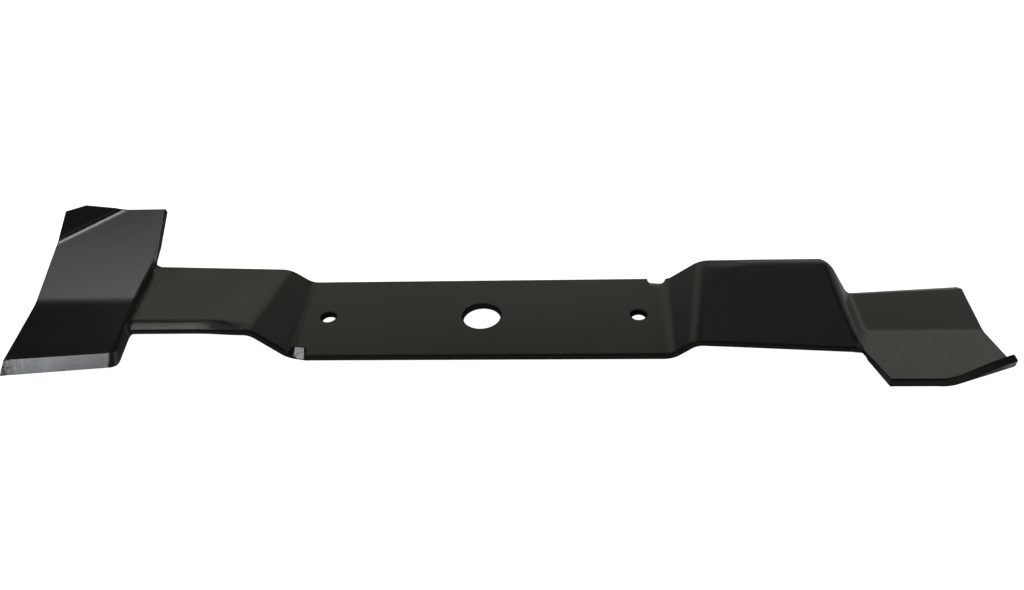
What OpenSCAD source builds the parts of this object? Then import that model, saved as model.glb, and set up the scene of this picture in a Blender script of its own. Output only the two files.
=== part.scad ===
// Rotary mower blade: one strip of steel, pierced, pressed to shape and ground on both cutting edges.
// The origin is the middle of the spindle bore on the hub's upper face; X runs along the blade, Z is up.
// One end is described, with its leading edge towards +Y. The other is the same end half a turn round.

/* [Hub] */
// Thickness of the strip
sheet_t = 3.25; // [2.5:0.25:4.5]
// Width of the strip at the hub
hub_w = 56; // [52:0.5:60]
// Diameter of the spindle bore
bore_d = 18; // [10:0.5:24]
// Diameter of each drive pin hole
pin_d = 7; // [4:0.5:9]
// Distance between the two drive pin holes
pin_gap = 150; // [110:1:152]

/* [Step up to the arm] */
// Distance from the bore to the foot of the step
foot_x = 88.5; // [86:0.5:93]
// Slope of the step
step_angle = 39; // [32:1:46]
// Height of the arm above the hub on the centre line
arm_rise = 12.3; // [10:0.1:14]
// Tilt of the arm, up towards its leading edge
arm_tilt = 8.5; // [6:0.1:10]
// Radius inside the two bends of the step
step_r = 9; // [5:0.5:10]
// Width of the scoop at the foot of the step
scoop_w = 8.5; // [7:0.25:10]
// Radius of the scoop's lower corners
scoop_r = 2.5; // [1.5:0.25:3]
// Reach of the scoop in from the leading edge
scoop_in = 6.5; // [4:0.25:8]

/* [Arm] */
// Distance from the centre line to the leading edge
arm_lead = 25; // [23:0.2:27]
// Distance from the centre line to the trailing edge at the step
arm_trail_in = 28.3; // [27:0.1:30]
// Distance from the centre line to the trailing edge at the wing
arm_trail_out = 32.8; // [31:0.1:34.5]
// Width of the margin that is turned down along the leading edge
roll_w = 7.5; // [6:0.25:10]
// Angle by which the margin is turned down
roll_angle = 26; // [10:0.5:30]
// Distance from the step over which the margin turns down
roll_run = 26; // [22:0.5:30]
// Distance from the bore to the arm's outer end
crest_x = 167.2; // [165:0.2:168.6]
// Radius inside the bend at the arm's outer end
press_r = 4; // [2:0.25:5]

/* [Wing] */
// Distance from the bore to the leading tip
tip_x = 232; // [225:0.5:245]
// Distance from the bore to the foot of the drop to the wing
toe_x = 176.4; // [175.2:0.1:180]
// Distance from the centre line back to the bend along the wing
bend_back = 13; // [10:0.5:16]
// Slope of the flat in front of the bend
front_angle = 8.4; // [6:0.2:11]
// Slope of the lift flat behind the bend
rear_angle = 21; // [17:0.5:25]
// Distance from the centre line to the leading edge at the arm
wing_lead_in = 26.6; // [25:0.1:28]
// Distance from the centre line to the leading edge at the tip
wing_lead_out = 31.4; // [29:0.2:33]
// Distance from the centre line to the trailing edge
wing_trail = 66.5; // [62:0.5:70]
// Distance from the bore to the wing's inner trailing corner
wing_in_x = 173.2; // [171:0.2:176]
// Taper of the outer edge
outer_taper = 3; // [1:0.2:6]

/* [Corner ear] */
// Angle through which the ear is folded up
ear_angle = 43; // [25:1:55]
// Radius inside the fold
ear_r = 6; // [4:0.25:8]
// Length of the ear from the start of the fold, at the trailing edge
ear_len_in = 12.4; // [10:0.1:14]
// Length of the ear from the start of the fold, at the outer edge
ear_len_out = 14.2; // [11:0.1:16]
// Angle by which the ear's outer side is cut back
ear_rake = 12; // [0:1:20]
// Distance from the bore to the fold on the trailing edge
ear_in_x = 192.2; // [189:0.2:197]
// Distance from the centre line to the fold on the outer edge
ear_out_y = 44.8; // [42:0.2:48]

/* [Cutting edge] */
// Width of the ground bevel along the wing
grind_w = 6.2; // [4:0.1:8]
// Width of the bevel where it runs up the drop to the arm
drop_bevel = 6; // [1:0.1:7]

/* [Hidden] */
paint = [0.16, 0.16, 0.15];
$fn = 72;
joint_x = 80;
foot_lead = mix(hub_w / 2, arm_lead, 0.6);
root_ease = 5;
roll_soft = 4;
roll_s = [0.4, 0.6, 0.8, 1];
crest_turn = 5.5;
toe_swing = 11;
scoop_slope = 25;
soft = 3;
arc_n = 6;
ear_arc = ear_r * ear_angle * PI / 180;

function mix(a, b, s) = a + (b - a) * s;
function unit(v) = v / norm(v);

// Distance from the centre line of row q: 0 is the trailing edge, 1 the wing's bend, 2 the leading edge
function across(q, trail, lead) =
    q < 1 ? mix(-trail, -bend_back, q) : mix(-bend_back, lead, q - 1);

// Height of the arm's upper face, a tilted flat with its leading margin turned down
function arm_z(y) =
    let (d = max(0, y - arm_lead + roll_w))
    arm_rise + y * tan(arm_tilt)
    - tan(roll_angle) * (d < roll_soft ? d * d / roll_soft / 2 : d - roll_soft / 2);

// Height of the arm where it leaves the step, straight from edge to edge
function arm_foot_z(y) =
    mix(arm_z(-arm_trail_in), arm_z(arm_lead), (y + arm_trail_in) / (arm_lead + arm_trail_in));

// Height of the wing's upper face, two flats that meet in a soft bend
function wing_z(y) =
    let (d = -bend_back - y, fore = tan(front_angle), aft = tan(rear_angle))
    d > soft ? d * aft : d < -soft ? d * fore : d * fore + (aft - fore) * pow(d + soft, 2) / soft / 4;

// Outer edge of the wing in plan
function outer_x(y) = tip_x - (wing_lead_out - y) * tan(outer_taper);

// Points of a rounded bend at p, on the way from a to b
function bend(a, p, b, r) =
    let (
        d1 = unit(p - a),
        d2 = unit(b - p),
        turn = acos(min(1, d1 * d2)),
        reach = min(r * tan(turn / 2), 0.45 * norm(p - a), 0.45 * norm(b - p))
    )
    [
        for (k = [0 : arc_n])
            let (s = k / arc_n)
            pow(1 - s, 2) * (p - d1 * reach) + 2 * s * (1 - s) * p + s * s * (p + d2 * reach)
    ];

// Foot line of the drop to the wing, square across the front flat and swung in behind the bend
function toe_line(y) = toe_x - max(0, -bend_back - y) * tan(toe_swing);

// Leading edge along the wing, s = 0 at the drop and 1 at the tip
function wing_lead(s) = mix(wing_lead_in, wing_lead_out, s);

// Share of the wing's length at each column beyond the drop
ear_s = 0.34;
wing_s = [0.08, 0.2, ear_s, for (k = [1 : 5]) mix(ear_s, 1, k / 5)];
arc_share = 0.03;
share = [
    for (k = [0 : arc_n]) arc_share * k / arc_n,
    for (s = wing_s) mix(arc_share, 1, s)
];
ear_share = mix(arc_share, 1, ear_s);

// One lengthwise row of the strip, from the hub to the tip
function strip_row(q) =
    let (
        y1 = across(q, hub_w / 2, foot_lead),
        y2 = across(q, arm_trail_in, arm_lead),
        y3 = across(q, arm_trail_out, arm_lead),
        y4 = across(q, arm_trail_out + root_ease, wing_lead(0)),
        v0 = [joint_x, across(q, hub_w / 2, hub_w / 2), 0],
        v1 = [foot_x, y1, 0],
        v2 = [foot_x + arm_foot_z(y2) / tan(step_angle), y2, arm_foot_z(y2)],
        v3 = [crest_x - y3 * tan(crest_turn), y3, arm_z(y3)],
        arm = [
            for (s = roll_s)
                let (
                    x = v2.x + s * roll_run,
                    y = mix(y2, y3, (x - v2.x) / (v3.x - v2.x))
                )
                [x, y, mix(arm_foot_z(y), arm_z(y), s * s * (3 - 2 * s))]
        ],
        v4 = [toe_line(y4), y4, wing_z(y4)],
        toe = bend(v3, v4, v4 + [20, 0, 0], 1.5 * press_r)
    )
    concat(
        [v0],
        bend(v0, v1, v2, step_r),
        bend(v1, v2, arm[0], step_r + sheet_t),
        arm,
        bend(arm[len(arm) - 1], v3, v4, press_r + sheet_t),
        toe,
        [
            for (s = wing_s)
                let (y = across(q, arm_trail_out + root_ease, wing_lead(s)))
                [mix(toe[arc_n].x, outer_x(y), s), y, wing_z(y)]
        ]
    );

// First columns of the arm's outer bend, the wing and the ear
crest_col = 1 + 2 * (arc_n + 1) + len(roll_s);
wing_col = crest_col + arc_n + 1;
ear_col = wing_col + arc_n + 3;
last_col = wing_col + arc_n + len(wing_s);

// Width of the bevel at column i: none on the arm, growing round its outer bend and down the drop
function bevel(i) =
    i < crest_col ? 0
    : i < wing_col ? drop_bevel * pow(sin(90 * (i - crest_col) / arc_n), 2)
    : mix(drop_bevel, grind_w, min(1, (i - wing_col) / arc_n));

// Rows across the strip; the upper face stops short of the leading edge by the bevel
bend_in = 1 - soft / (arm_trail_out + root_ease - bend_back);
bend_out = 1 + soft / (wing_lead_in + bend_back);
roll_in = 2 - roll_w / (arm_lead + bend_back);
row_q = [
    for (k = [0 : 2]) bend_in * k / 3,
    for (k = [0 : 2]) mix(bend_in, 1, k / 3),
    for (k = [0 : 2]) mix(1, bend_out, k / 3),
    for (k = [0 : 2]) mix(bend_out, roll_in, k / 3),
    for (k = [0 : 6]) mix(roll_in, 2, k / 6)
];
function inset(i, q) = max(0, q - bend_out) / (2 - bend_out) * bevel(i) / (arm_lead + bend_back);
strip = [for (q = row_q) [for (i = [0 : last_col]) strip_row(q - inset(i, q))[i]]];
lead_row = strip_row(2);

// Trailing edge of the wing and the line where the ear begins
corner = [wing_in_x, -wing_trail, wing_z(-wing_trail)];
ear_a = [ear_in_x, -wing_trail, wing_z(-wing_trail)];
ear_b = [outer_x(-ear_out_y), -ear_out_y, wing_z(-ear_out_y)];
function ear_way(i) = (share[i - wing_col] - ear_share) / (1 - ear_share);
function edge(i) =
    i < ear_col
    ? mix(corner, ear_a, share[i - wing_col] / ear_share)
    : mix(ear_a, ear_b, ear_way(i));

// The lift flat behind the arm, between the strip and the trailing edge
lift = [
    for (s = [1, 0.67, 0.34, 0.1])
        [for (i = [0 : last_col]) i < wing_col ? strip[0][i] : mix(strip[0][i], edge(i), s)]
];

// The ear, folded up about the line from ear_a to ear_b
fold_l = norm(ear_b - ear_a);
fold = unit(ear_b - ear_a);
up = [0, sin(rear_angle), cos(rear_angle)];
away = cross(fold, up);
rim = unit([-tan(outer_taper), -1, tan(rear_angle)]);
function ear_point(d_in, d_out, s) =
    let (
        d = mix(d_in, d_out, s),
        turn = min(ear_angle, d / ear_r * 180 / PI),
        flat = max(0, d - ear_arc),
        from = d_in * fold.x / away.x,
        to = fold_l + d_out * ((rim * fold) / (rim * away) - tan(ear_rake))
    )
    ear_a + fold * mix(from, to, s)
    + away * (ear_r * sin(turn) + flat * cos(turn))
    + up * (ear_r * (1 - cos(turn)) + flat * sin(turn));
function ear_row(d_in, d_out) = [
    for (i = [0 : last_col]) i < ear_col ? ear_a : ear_point(d_in, d_out, ear_way(i))
];
ear = [
    ear_row(ear_len_in, ear_len_out),
    for (k = [arc_n : -1 : 1]) ear_row(ear_arc * k / arc_n, ear_arc * k / arc_n)
];

// Upper face of the sheet as rows of points, and the first column present in each row
top = concat(ear, lift, strip);
rows = len(top);
cols = last_col + 1;
function first(j) = j < len(ear) ? ear_col : j < len(ear) + len(lift) ? wing_col : 0;
function present(i, j) = j >= 0 && j < rows - 1 && i < last_col && i >= first(j);

// Direction square to the sheet at one point
function square_to(i, j) =
    let (
        east = top[j][min(i + 1, last_col)],
        west = top[j][max(i - 1, first(j))],
        north = top[min(j + 1, rows - 1)][i],
        south = j > 0 && i >= first(max(j - 1, 0)) ? top[j - 1][i] : top[j][i]
    )
    unit(cross(east - west, north - south));

// Number of a point of the upper face (u = 0) or the lower face (u = 1)
function at(i, j, u) = (u * rows + j) * cols + i;
function quad(a, b, c, d) = [[a, b, c], [a, c, d]];
function wall(i1, j1, i2, j2) = quad(at(i1, j1, 0), at(i2, j2, 0), at(i2, j2, 1), at(i1, j1, 1));

points = concat(
    [for (j = [0 : rows - 1], i = [0 : last_col]) top[j][i]],
    [
        for (j = [0 : rows - 1], i = [0 : last_col])
            i < first(j) ? top[j][i]
            : (j < rows - 1 ? top[j][i] : lead_row[i]) - sheet_t * square_to(i, j)
    ]
);
faces = [
    for (j = [0 : rows - 2], i = [0 : last_col - 1])
        if (present(i, j))
            each concat(
                quad(at(i, j, 0), at(i, j + 1, 0), at(i + 1, j + 1, 0), at(i + 1, j, 0)),
                quad(at(i, j, 1), at(i + 1, j, 1), at(i + 1, j + 1, 1), at(i, j + 1, 1)),
                present(i, j - 1) ? [] : wall(i, j, i + 1, j),
                present(i, j + 1) ? [] : wall(i + 1, j + 1, i, j + 1),
                present(i - 1, j) ? [] : wall(i, j + 1, i, j),
                present(i + 1, j) ? [] : wall(i + 1, j, i + 1, j + 1)
            )
];

// Flat middle of the blade
module hub_plate() {
    translate([-joint_x, -hub_w / 2, -sheet_t])
        cube([2 * joint_x, hub_w, sheet_t]);
}

// Step, arm, wing and ear of one end, pressed from the flat strip
module formed_end() {
    polyhedron(points, faces);
}

// Scoop across the leading edge at the foot of the step, flat below with round corners
module scoop() {
    corner_x = scoop_w / 2 - scoop_r;
    translate([foot_x - 4, hub_w / 2 - scoop_in, 0])
        rotate([-90 - scoop_slope, 0, 0])
            translate([0, -scoop_r, -10]) {
                for (side = [-1, 1])
                    translate([side * corner_x, 0, 0])
                        cylinder(r = scoop_r, h = 24);
                translate([-corner_x, -scoop_r, 0])
                    cube([2 * corner_x, 2 * scoop_r, 24]);
                translate([-scoop_w / 2, -2 * scoop_r, 0])
                    cube([scoop_w, 2 * scoop_r, 24]);
            }
}

module blade() {
    color(paint)
        difference() {
            union() {
                hub_plate();
                for (turn = [0, 180])
                    rotate(turn)
                        formed_end();
            }
            translate([0, 0, -sheet_t - 1])
                cylinder(d = bore_d, h = sheet_t + 2);
            for (side = [-1, 1])
                translate([side * pin_gap / 2, 0, -sheet_t - 1])
                    cylinder(d = pin_d, h = sheet_t + 2);
            for (turn = [0, 180])
                rotate(turn)
                    scoop();
        }
}

blade();
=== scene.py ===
import math

import bmesh
import bpy
from mathutils import Matrix, Vector


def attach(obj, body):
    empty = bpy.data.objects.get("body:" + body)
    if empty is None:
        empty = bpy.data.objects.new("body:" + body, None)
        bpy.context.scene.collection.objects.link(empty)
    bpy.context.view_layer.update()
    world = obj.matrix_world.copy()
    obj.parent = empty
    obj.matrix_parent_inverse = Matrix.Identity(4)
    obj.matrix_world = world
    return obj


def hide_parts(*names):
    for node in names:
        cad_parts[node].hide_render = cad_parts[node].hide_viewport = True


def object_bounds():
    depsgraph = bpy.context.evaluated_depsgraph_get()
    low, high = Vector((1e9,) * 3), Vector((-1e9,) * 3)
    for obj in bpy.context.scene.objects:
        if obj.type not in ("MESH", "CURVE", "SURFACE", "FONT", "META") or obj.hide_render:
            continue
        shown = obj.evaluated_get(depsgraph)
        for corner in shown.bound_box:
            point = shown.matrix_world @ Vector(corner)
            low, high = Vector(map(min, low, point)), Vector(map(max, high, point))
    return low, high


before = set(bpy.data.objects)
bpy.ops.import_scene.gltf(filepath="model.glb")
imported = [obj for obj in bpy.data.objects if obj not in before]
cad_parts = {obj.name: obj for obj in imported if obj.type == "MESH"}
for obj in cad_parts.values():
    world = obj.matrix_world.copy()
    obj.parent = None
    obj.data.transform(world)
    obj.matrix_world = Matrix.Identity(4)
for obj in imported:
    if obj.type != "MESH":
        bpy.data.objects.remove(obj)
cad_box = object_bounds()


# The blade.
# One strip of spring steel about 3 mm thick, blanked and pierced, then pressed hot to its stepped
# and winged shape. Blanking leaves its upper corners rolled over and its lower corners crisp.
TOP_ROUND = 0.0008        # rolled-over corner of the upper face, in metres
LOW_ROUND = 0.35          # the lower corners' rounding, as a share of TOP_ROUND
EDGE_LAND = 0.15          # blunt land left on the cutting edge, as a share of TOP_ROUND
ROUND_STEPS = 5           # facets across each rounding
WELD = 0.0003             # points of the pressed sheet closer than this become one
SLIVER = 0.00006          # faces thinner than this are taken out
SAME_POINT = 0.000005     # points left in one place where a rounding runs out
FLAT_ANGLE = math.radians(0.6)        # faces that turn by less than this become one
WING_ANGLE = math.radians(1.5)        # and along the wing's inner side, by less than this
SKIN_ANGLE = math.radians(35)         # a skin of the sheet turns by less than this at each edge
CORNER_ANGLE = math.radians(40)       # edges that turn by more than this are rounded
SMOOTH_ANGLE = math.radians(36)       # edges that turn by less than this are shaded soft
SCOOP_LINE = math.radians(30)         # and round the scoop, by less than this
LEVEL = 0.9999            # least upward part of a level face's normal
HUB_HALF = 0.07           # the hub is level this far from the bore
LEADING = 0.018           # scoop and bevel lie beyond this distance ahead of the middle line
BEVEL_FROM = 0.176        # the bevel on the wing's leading edge starts this far from the bore
BEVEL_UP, BEVEL_AHEAD = 0.6, 0.28     # least upward and forward parts of the bevel's normal
SCOOP_IN, SCOOP_OUT = 0.074, 0.090    # the scoop pressed into the hub's edge lies between these
SCOOP_UP = 0.15           # least upward part of a normal in the scoop's hollow
SCOOP_RIM = 0.0006        # width of the rim drawn inside the scoop's floor
FLOOR_UP = (0.86, 0.94)   # least and greatest upward parts of the scoop floor's normal
FLOOR_AHEAD = 0.3         # least forward part of it
# Zones of each end, as the least and greatest x and y, the ends being half a turn apart.
NOOK_UNDER = (0.166, 0.1745, -0.042, -0.026)
NOOK_LEVEL = 0.0075       # the nook's underside lies below this
NOOK_WELD = 0.002         # points of it closer than this become one
WING_INNER = (0.160, 0.185, -0.072, -0.036)
TIGHT = (                 # where the corners are rounded less, and the share that is left
    ((0.072, 0.094, 0.012, 0.029), 0.0),      # round the scoop
    ((0.165, 0.177, -0.046, -0.025), 0.0),    # in the nook between arm and wing
    ((0.165, 0.178, -0.068, -0.025), 0.4),    # along the wing's inner side
    ((0.158, 0.172, 0.016, 0.028), 0.6),      # at the crest of the drop
)


def within(point, zone):
    """Whether a point lies in a zone of the end of the blade that it belongs to."""
    turned = math.copysign(1, point.x)
    low, high, near, far = zone
    return low < point.x * turned < high and near < point.y * turned < far


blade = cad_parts["blade"].copy()
blade.data = blade.data.copy()
blade.name = blade.data.name = "painted_blade"
for key in list(blade.keys()):
    del blade[key]
bpy.context.scene.collection.objects.link(blade)
bpy.ops.object.select_all(action="DESELECT")
blade.select_set(True)
bpy.context.view_layer.objects.active = blade

blade.data.materials.clear()
for name in ("satin_black_paint", "painted_sheared_edge", "ground_bevel", "rolled_corner"):
    finish = bpy.data.materials.new(name)
    finish.use_nodes = True
    blade.data.materials.append(finish)
PAINT, SHEARED, GROUND, CORNER = range(4)

# Merge the CAD mesh, draw together the slivers under the nook and join what lies flat.
bpy.ops.object.mode_set(mode="EDIT")
bpy.ops.mesh.select_mode(type="VERT")
bpy.ops.mesh.select_all(action="SELECT")
bpy.ops.mesh.remove_doubles(threshold=WELD)
sheet = bmesh.from_edit_mesh(blade.data)
for vert in sheet.verts:
    vert.select_set(within(vert.co, NOOK_UNDER) and vert.co.z < NOOK_LEVEL)
sheet.select_flush_mode()
bpy.ops.mesh.remove_doubles(threshold=NOOK_WELD)
bpy.ops.mesh.select_all(action="SELECT")
bpy.ops.mesh.dissolve_degenerate(threshold=SLIVER)
bpy.ops.mesh.dissolve_limited(angle_limit=FLAT_ANGLE)
bpy.ops.mesh.select_mode(type="FACE")
sheet = bmesh.from_edit_mesh(blade.data)
for face in sheet.faces:
    face.select_set(within(face.calc_center_median(), WING_INNER))
bpy.ops.mesh.dissolve_limited(angle_limit=WING_ANGLE)
bpy.ops.mesh.select_all(action="DESELECT")

# The two skins of the sheet are what joins the hub's faces smoothly; the rest was sheared.
sheet = bmesh.from_edit_mesh(blade.data)
for face in sheet.faces:
    face.material_index = SHEARED
    face.select_set(abs(face.normal.z) > LEVEL and abs(face.calc_center_median().x) < HUB_HALF)
bpy.ops.mesh.faces_select_linked_flat(sharpness=SKIN_ANGLE)
for face in sheet.faces:
    if face.select:
        face.material_index = PAINT
    middle = face.calc_center_median()
    end = math.copysign(1, middle.x)
    leads = middle.y * end > LEADING
    bevelled = face.normal.z > BEVEL_UP and face.normal.y * end > BEVEL_AHEAD
    if leads and abs(middle.x) > BEVEL_FROM and bevelled:
        face.material_index = GROUND
    elif leads and SCOOP_IN < abs(middle.x) < SCOOP_OUT and face.normal.z > SCOOP_UP:
        face.material_index = PAINT

# The scoop's floor becomes one face with a narrow rim.
for face in sheet.faces:
    middle = face.calc_center_median()
    end = math.copysign(1, middle.x)
    face.select_set(SCOOP_IN < middle.x * end < SCOOP_OUT and middle.y * end > LEADING
                    and face.normal.y * end > FLOOR_AHEAD
                    and FLOOR_UP[0] < face.normal.z < FLOOR_UP[1])
bpy.ops.mesh.dissolve_faces(use_verts=True)
bpy.ops.mesh.inset(thickness=SCOOP_RIM)
sheet = bmesh.from_edit_mesh(blade.data)

# Round the corners: most on the upper face, least along the cutting edge.
share = sheet.edges.layers.float.new("bevel_weight_edge")
for edge in sheet.edges:
    finishes = {face.material_index for face in edge.link_faces}
    middle = (edge.verts[0].co + edge.verts[1].co) / 2
    if edge.calc_face_angle() < CORNER_ANGLE or finishes == {PAINT}:
        continue
    upper = any(face.material_index == PAINT and face.normal.z > 0 for face in edge.link_faces)
    edge[share] = EDGE_LAND if GROUND in finishes else 1.0 if upper else LOW_ROUND
    for zone, left in TIGHT:
        if within(middle, zone):
            edge[share] *= left
bmesh.update_edit_mesh(blade.data)
bpy.ops.object.mode_set(mode="OBJECT")
bpy.ops.object.modifier_add(type="BEVEL")
rounding = blade.modifiers[-1]
rounding.limit_method = "WEIGHT"
rounding.width = TOP_ROUND
rounding.segments = ROUND_STEPS
rounding.use_clamp_overlap = False
rounding.loop_slide = False
rounding.material = CORNER
bpy.ops.object.modifier_apply(modifier=rounding.name)
bpy.ops.object.mode_set(mode="EDIT")
bpy.ops.mesh.select_mode(type="VERT")
bpy.ops.mesh.select_all(action="SELECT")
bpy.ops.mesh.remove_doubles(threshold=SAME_POINT)
bpy.ops.object.mode_set(mode="OBJECT")
bpy.ops.object.shade_smooth_by_angle(angle=SMOOTH_ANGLE)

# The lines round the ground bevel and in the scoop stay sharp.
bpy.ops.object.mode_set(mode="EDIT")
bpy.ops.mesh.select_mode(type="EDGE")
sheet = bmesh.from_edit_mesh(blade.data)
for edge in sheet.edges:
    finishes = {face.material_index for face in edge.link_faces}
    middle = (edge.verts[0].co + edge.verts[1].co) / 2
    ahead = middle.y * math.copysign(1, middle.x)
    scoop = SCOOP_IN < abs(middle.x) < SCOOP_OUT and ahead > LEADING
    edge.select_set(GROUND in finishes and len(finishes) > 1
                    or scoop and edge.calc_face_angle(0) > SCOOP_LINE)
bpy.ops.mesh.mark_sharp()
bpy.ops.object.mode_set(mode="OBJECT")
bpy.ops.object.modifier_add(type="WEIGHTED_NORMAL")
weighted = blade.modifiers[-1]
weighted.keep_sharp = True
bpy.ops.object.modifier_apply(modifier=weighted.name)

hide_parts("blade")
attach(blade, "root")


# The paint.
# A dipped and baked coat of satin black, a little olive, with the faint orange peel of a thick
# coat, dust that settled before it dried and light rubs from handling.
PAINT_DARK = (0.0028, 0.0028, 0.0024, 1)
PAINT_PALE = (0.0044, 0.0045, 0.0038, 1)
DUST = (0.022, 0.022, 0.020, 1)
PEEL_DEPTH = 0.0000035    # depth of the orange peel, in metres
COAT_ROUGH = (0.21, 0.27)
RUB_ROUGH = 0.02          # what a rub adds to the roughness
SPECK_HEIGHT = 0.6        # a dust speck's height, as a share of the peel's


def add_node(tree, kind, **settings):
    """A node with its properties set by name and its inputs by (name, value or socket)."""
    node = tree.nodes.new(kind)
    for socket, value in settings.pop("inputs", {}).items():
        if isinstance(value, bpy.types.NodeSocket):
            tree.links.new(value, node.inputs[socket])
        else:
            node.inputs[socket].default_value = value
    for key, value in settings.items():
        setattr(node, key, value)
    return node


def stretched(tree, vector, scale):
    """The coordinates of a texture, drawn out by dividing its detail unevenly."""
    return add_node(tree, "ShaderNodeVectorMath", operation="MULTIPLY",
                    inputs={0: vector, 1: scale}).outputs[0]


def band(tree, value, low, high, to_low=0.0, to_high=1.0):
    """The value eased from one range into another."""
    return add_node(tree, "ShaderNodeMapRange", interpolation_type="SMOOTHSTEP",
                    inputs={"Value": value, "From Min": low, "From Max": high,
                            "To Min": to_low, "To Max": to_high}).outputs[0]


coat = bpy.data.node_groups.new("baked_coat", "ShaderNodeTree")
coat.interface.new_socket("Vector", in_out="INPUT", socket_type="NodeSocketVector")
coat.interface.new_socket("Color", in_out="OUTPUT", socket_type="NodeSocketColor")
coat.interface.new_socket("Roughness", in_out="OUTPUT", socket_type="NodeSocketFloat")
coat.interface.new_socket("Height", in_out="OUTPUT", socket_type="NodeSocketFloat")
at = add_node(coat, "NodeGroupInput").outputs["Vector"]
clouds = add_node(coat, "ShaderNodeTexNoise", inputs={"Vector": at, "Scale": 14, "Detail": 4})
peel = add_node(coat, "ShaderNodeTexNoise", inputs={"Vector": at, "Scale": 420, "Detail": 2})
rubs = add_node(coat, "ShaderNodeTexNoise",
                inputs={"Vector": stretched(coat, at, (60, 700, 200)), "Scale": 1, "Detail": 3})
grains = add_node(coat, "ShaderNodeTexVoronoi", inputs={"Vector": at, "Scale": 260})
tone = add_node(coat, "ShaderNodeMix", data_type="RGBA",
                inputs={0: clouds.outputs[0], 6: PAINT_DARK, 7: PAINT_PALE}).outputs[2]
few = band(coat, add_node(coat, "ShaderNodeSeparateColor",
                          inputs={0: grains.outputs["Color"]}).outputs[0], 0.90, 0.93)
speck = add_node(coat, "ShaderNodeMath", operation="MULTIPLY",
                 inputs={0: few, 1: band(coat, grains.outputs["Distance"], 0.16, 0.08)}).outputs[0]
dusted = add_node(coat, "ShaderNodeMix", data_type="RGBA",
                  inputs={0: speck, 6: tone, 7: DUST}).outputs[2]
gloss = band(coat, clouds.outputs[0], 0.3, 0.7, *COAT_ROUGH)
rubbed = add_node(coat, "ShaderNodeMath", operation="ADD",
                  inputs={0: gloss, 1: band(coat, rubs.outputs[0], 0.5, 0.8, 0.0, RUB_ROUGH)})
relief = add_node(coat, "ShaderNodeMath", operation="MULTIPLY_ADD",
                  inputs={0: speck, 1: SPECK_HEIGHT, 2: peel.outputs[0]})
add_node(coat, "NodeGroupOutput",
         inputs={"Color": dusted, "Roughness": rubbed.outputs[0], "Height": relief.outputs[0]})


def coated(material, peel_depth):
    """Gives a material's shader the baked coat; returns its tree, shader, coat and place."""
    tree = material.node_tree
    shader = tree.nodes["Principled BSDF"]
    place = add_node(tree, "ShaderNodeTexCoord").outputs["Object"]
    skin = add_node(tree, "ShaderNodeGroup", node_tree=coat)
    tree.links.new(place, skin.inputs["Vector"])
    bump = add_node(tree, "ShaderNodeBump",
                    inputs={"Height": skin.outputs["Height"], "Distance": peel_depth})
    tree.links.new(skin.outputs["Color"], shader.inputs["Base Color"])
    tree.links.new(skin.outputs["Roughness"], shader.inputs["Roughness"])
    tree.links.new(bump.outputs[0], shader.inputs["Normal"])
    return tree, shader, skin, place


coated(blade.data.materials[PAINT], PEEL_DEPTH)


# The sheared edges.
# The strip's narrow sides, torn rough by the blanking die under the same coat, which lies thinner
# and duller on them.
TEAR_DEPTH = 0.00004
TORN_ROUGH = (0.38, 0.60)
TORN_SHEEN = 0.35
tree, shader, skin, place = coated(blade.data.materials[SHEARED], TEAR_DEPTH)
tear = add_node(tree, "ShaderNodeTexNoise", inputs={
    "Vector": stretched(tree, place, (900, 900, 160)), "Scale": 1, "Detail": 4})
dull = band(tree, tear.outputs[0], 0.3, 0.7, *TORN_ROUGH)
tree.links.new(dull, shader.inputs["Roughness"])
shader.inputs["Specular IOR Level"].default_value = TORN_SHEEN


# The rolled corners.
# Where sheet meets sheared side the coat draws thin, and handling has rubbed it through to the
# grey steel here and there.
BARE_GREY = (0.03, 0.03, 0.028, 1)
THIN_PEEL = 0.000006
CORNER_ROUGH = (0.40, 0.52)
CORNER_SHEEN = 0.16
tree, shader, skin, place = coated(blade.data.materials[CORNER], THIN_PEEL)
chips = add_node(tree, "ShaderNodeTexNoise", inputs={"Vector": place, "Scale": 190, "Detail": 6})
bare = band(tree, chips.outputs[0], 0.64, 0.72)
worn = add_node(tree, "ShaderNodeMix", data_type="RGBA",
                inputs={0: bare, 6: skin.outputs["Color"], 7: BARE_GREY}).outputs[2]
tree.links.new(worn, shader.inputs["Base Color"])
tree.links.new(band(tree, chips.outputs[0], 0.3, 0.7, *CORNER_ROUGH), shader.inputs["Roughness"])
shader.inputs["Specular IOR Level"].default_value = CORNER_SHEEN


# The ground bevels.
# Each wing's leading edge is ground last, through the paint, to bright steel with the lines of the
# stone across it. The stone stops short of the drop, where the bevel stays painted.
GROUND_FROM = 0.1793      # where the stone starts to bite, from the bore
BITE = 0.0016             # width of the ragged line between paint and steel
TIP_X = 0.232             # the blade's end, from the bore
STEEL_GREY = (0.10, 0.103, 0.107, 1)
STEEL_BRIGHT = (0.225, 0.232, 0.240, 1)
SCUFF_FROM = 0.2245       # the last few millimetres before the tip are scuffed dark
SCUFF = (0.012, 0.012, 0.012, 1)
# Painted highlight: the steel's colour grows brighter from the drop towards the tip, on top of its
# random patches.
PAINTED_SHINE = (-0.36, 0.42)     # what is added to the steel's patches, from the drop to the tip
STEEL_ROUGH = (0.22, 0.27)
SCORE_DEPTH = 0.0000025
tree, shader, skin, place = coated(blade.data.materials[GROUND], THIN_PEEL)
along = add_node(tree, "ShaderNodeMath", operation="ABSOLUTE", inputs={
    0: add_node(tree, "ShaderNodeSeparateXYZ", inputs={0: place}).outputs["X"]}).outputs[0]
ragged = add_node(tree, "ShaderNodeTexNoise", inputs={"Vector": place, "Scale": 500, "Detail": 4})
reach = add_node(tree, "ShaderNodeMath", operation="MULTIPLY_ADD",
                 inputs={0: ragged.outputs[0], 1: BITE, 2: along}).outputs[0]
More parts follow.
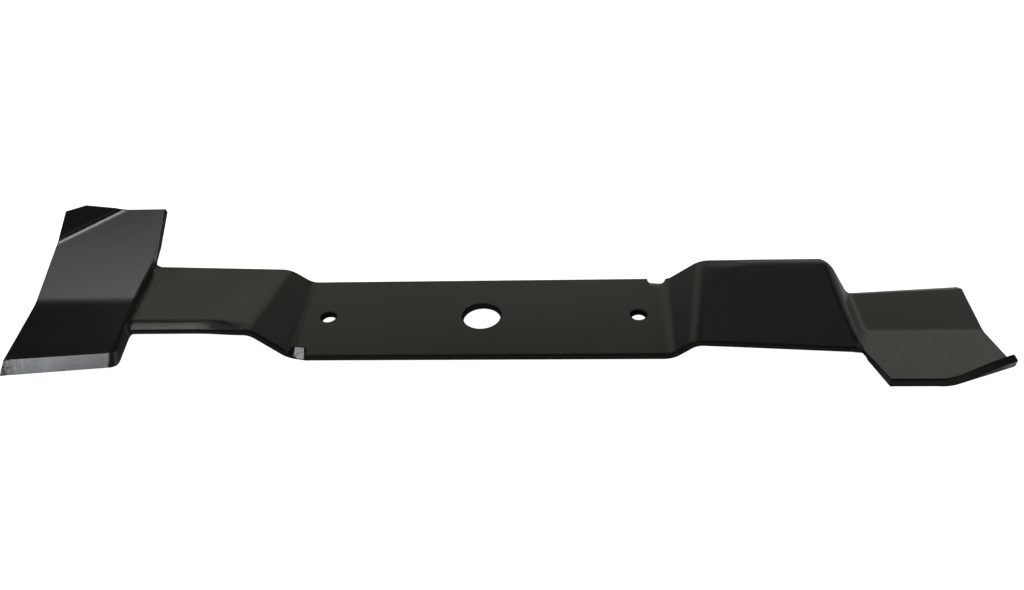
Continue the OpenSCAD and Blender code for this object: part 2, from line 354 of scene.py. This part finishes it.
bitten = band(tree, reach, GROUND_FROM, GROUND_FROM + BITE)
lines = add_node(tree, "ShaderNodeTexNoise", inputs={
    "Vector": stretched(tree, place, (2600, 90, 90)), "Scale": 1, "Detail": 3})
patches = add_node(tree, "ShaderNodeTexNoise", inputs={"Vector": place, "Scale": 90, "Detail": 3})
# random patches of the steel, plus a painted highlight that brightens it towards the tip
patches_and_painted_shine = add_node(tree, "ShaderNodeMath", operation="MULTIPLY_ADD", use_clamp=True,
                 inputs={0: band(tree, along, GROUND_FROM, TIP_X, *PAINTED_SHINE), 1: 1.0,
                         2: patches.outputs[0]}).outputs[0]
steel = add_node(tree, "ShaderNodeMix", data_type="RGBA",
                 inputs={0: patches_and_painted_shine, 6: STEEL_GREY, 7: STEEL_BRIGHT}).outputs[2]
dings = add_node(tree, "ShaderNodeTexNoise", inputs={"Vector": place, "Scale": 650, "Detail": 3})
scuffed = add_node(tree, "ShaderNodeMath", operation="MULTIPLY", inputs={
    0: band(tree, along, SCUFF_FROM, TIP_X),
    1: band(tree, dings.outputs[0], 0.42, 0.56)}).outputs[0]
marked = add_node(tree, "ShaderNodeMix", data_type="RGBA",
                  inputs={0: scuffed, 6: steel, 7: SCUFF}).outputs[2]
shown = add_node(tree, "ShaderNodeMix", data_type="RGBA",
                 inputs={0: bitten, 6: skin.outputs["Color"], 7: marked}).outputs[2]
matt = add_node(tree, "ShaderNodeMix", inputs={
    0: bitten, 2: skin.outputs["Roughness"],
    3: band(tree, lines.outputs[0], 0.3, 0.7, *STEEL_ROUGH)}).outputs[0]
scored = add_node(tree, "ShaderNodeBump", inputs={
    "Height": add_node(tree, "ShaderNodeMath", operation="MULTIPLY", inputs={
        0: lines.outputs[0], 1: bitten}).outputs[0],
    "Distance": SCORE_DEPTH})
tree.links.new(shown, shader.inputs["Base Color"])
tree.links.new(bitten, shader.inputs["Metallic"])
tree.links.new(matt, shader.inputs["Roughness"])
tree.links.new(scored.outputs[0], shader.inputs["Normal"])


# The floor and the studio light.
# A plain white table top. A softbox with a hot lamp in it hangs above the left wing, and white
# panels stand along the back, brighter to the left. Others close the front, the sides and the top.
FLOOR_SIZE = 8
FLOOR_GREY = (0.5, 0.5, 0.5, 1)
FLOOR_ROUGH, FLOOR_SHEEN = 0.9, 0.1
floor_z = cad_box[0].z
bpy.ops.object.select_all(action="DESELECT")
bpy.ops.mesh.primitive_plane_add(size=FLOOR_SIZE, location=(0, 0, floor_z))
floor = bpy.context.object
floor.name = "floor"
pale = bpy.data.materials.new("pale_floor")
pale.use_nodes = True
floor_shader = pale.node_tree.nodes["Principled BSDF"]
floor_shader.inputs["Base Color"].default_value = FLOOR_GREY
floor_shader.inputs["Roughness"].default_value = FLOOR_ROUGH
floor_shader.inputs["Specular IOR Level"].default_value = FLOOR_SHEEN
floor_shader.inputs["Emission Color"].default_value = (1, 1, 1, 1)
to_camera = pale.node_tree.nodes.new("ShaderNodeLightPath").outputs["Is Camera Ray"]
pale.node_tree.links.new(to_camera, floor_shader.inputs["Emission Strength"])
floor.data.materials.append(pale)

NEUTRAL = (1.0, 1.0, 1.0)
OLIVE = (0.965, 1.0, 0.82)


def soft_light(name, size, place, aim, radiance, colour, shape="RECTANGLE"):
    """An area light of even brightness, given as the light that leaves each square metre."""
    bpy.ops.object.light_add(type="AREA", location=place)
    light = bpy.context.object
    light.name = name
    light.data.shape = shape
    light.data.size, light.data.size_y = size
    area = size[0] * size[1] * (math.pi / 4 if shape == "ELLIPSE" else 1)
    light.data.energy = radiance * math.pi * area
    light.data.color = colour
    light.rotation_euler = (Vector(aim) - Vector(place)).to_track_quat("-Z", "Y").to_euler()
    light.visible_camera = False


soft_light("lamp", (0.9, 1.25), (-1.15, -0.4, 2.87), (-1.15, -0.4, 0), 9.8, NEUTRAL, "ELLIPSE")
soft_light("softbox", (1.55, 0.9), (-1.72, 0.285, 2.9), (-1.72, 0.285, 0), 1.85, NEUTRAL)
soft_light("softbox_flap", (0.45, 0.25), (-1.17, 0.86, 2.9), (-1.17, 0.86, 0), 2.6, NEUTRAL)
soft_light("slant_panel", (0.4, 1.3), (-1.05, 1.55, 2.5), (0, 0, 0), 0.55, OLIVE)
soft_light("back_panel", (5.5, 2.1), (1.1, 2.2, 1.06), (1.1, 0, 1.06), 0.28, OLIVE)
soft_light("back_panel_upper", (2.6, 1.1), (-0.95, 2.15, 1.55), (-0.95, 0, 1.55), 0.30, OLIVE)
soft_light("back_panel_foot", (2.8, 0.4), (1.2, 2.1, 0.2), (1.2, 0, 0.2), 0.20, OLIVE)
soft_light("ceiling_panel", (1.2, 2.0), (0.7, 2.0, 2.9), (0.7, 2.0, 0), 0.21, OLIVE)
soft_light("front_panel", (5.4, 1.1), (0, -2.8, 0.65), (0, 0, 0.65), 0.45, NEUTRAL)
soft_light("front_panel_upper", (2.2, 0.95), (0.521, -1.945, 1.945), (0, 0, 0), 0.40, NEUTRAL)
soft_light("left_corner_panel", (1.6, 1.5), (-2.68, -2.09, 0.85), (0, 0, 0.85), 0.45, NEUTRAL)
soft_light("right_corner_panel", (1.6, 1.5), (2.68, -2.09, 0.85), (0, 0, 0.85), 0.45, NEUTRAL)
soft_light("left_panel", (3.0, 1.4), (-3.1, -0.6, 0.8), (0, -0.6, 0.8), 0.50, NEUTRAL)
soft_light("right_panel", (3.0, 1.4), (3.6, -0.6, 0.8), (0, -0.6, 0.8), 0.50, NEUTRAL)
soft_light("top_panel", (1.3, 1.5), (0.3, -0.25, 2.95), (0.3, -0.25, 0), 0.30, NEUTRAL)

ROOM_GLOW = 0.045         # what the room gives besides the lights; to the camera it is white
world = bpy.context.scene.world or bpy.data.worlds.new("studio")
bpy.context.scene.world = world
world.use_nodes = True
world.node_tree.nodes["Background"].inputs["Color"].default_value = (1, 1, 1, 1)
seen = world.node_tree.nodes.new("ShaderNodeLightPath").outputs["Is Camera Ray"]
dim_or_white = add_node(world.node_tree, "ShaderNodeMath", operation="MULTIPLY_ADD",
                        inputs={0: seen, 1: 1 - ROOM_GLOW, 2: ROOM_GLOW})
world.node_tree.links.new(dim_or_white.outputs[0],
                          world.node_tree.nodes["Background"].inputs["Strength"])


# The camera, above and in front of the blade, a little to the right and slightly rolled.
CAMERA_AT = (0.05456, -0.37489, 0.31348)
AZIMUTH = math.radians(5.968)
ELEVATION = math.radians(38.596)
ROLL = math.radians(-4.266)
SENSOR, LENS = 36.0, 35.92            # in millimetres
NEAREST = 0.01
camera_data = bpy.data.cameras.new("camera")
camera_data.sensor_width = SENSOR
camera_data.lens = LENS
camera = bpy.data.objects.new("camera", camera_data)
bpy.context.scene.collection.objects.link(camera)
turn = Matrix.Rotation(AZIMUTH, 4, "Z")
look_down = Matrix.Rotation(math.pi / 2 - ELEVATION, 4, "X")
camera.matrix_world = (
    Matrix.Translation(CAMERA_AT) @ turn @ look_down @ Matrix.Rotation(ROLL, 4, "Z")
)
camera_data.clip_start = NEAREST
bpy.context.scene.camera = camera
bpy.context.scene.view_settings.view_transform = "Standard"
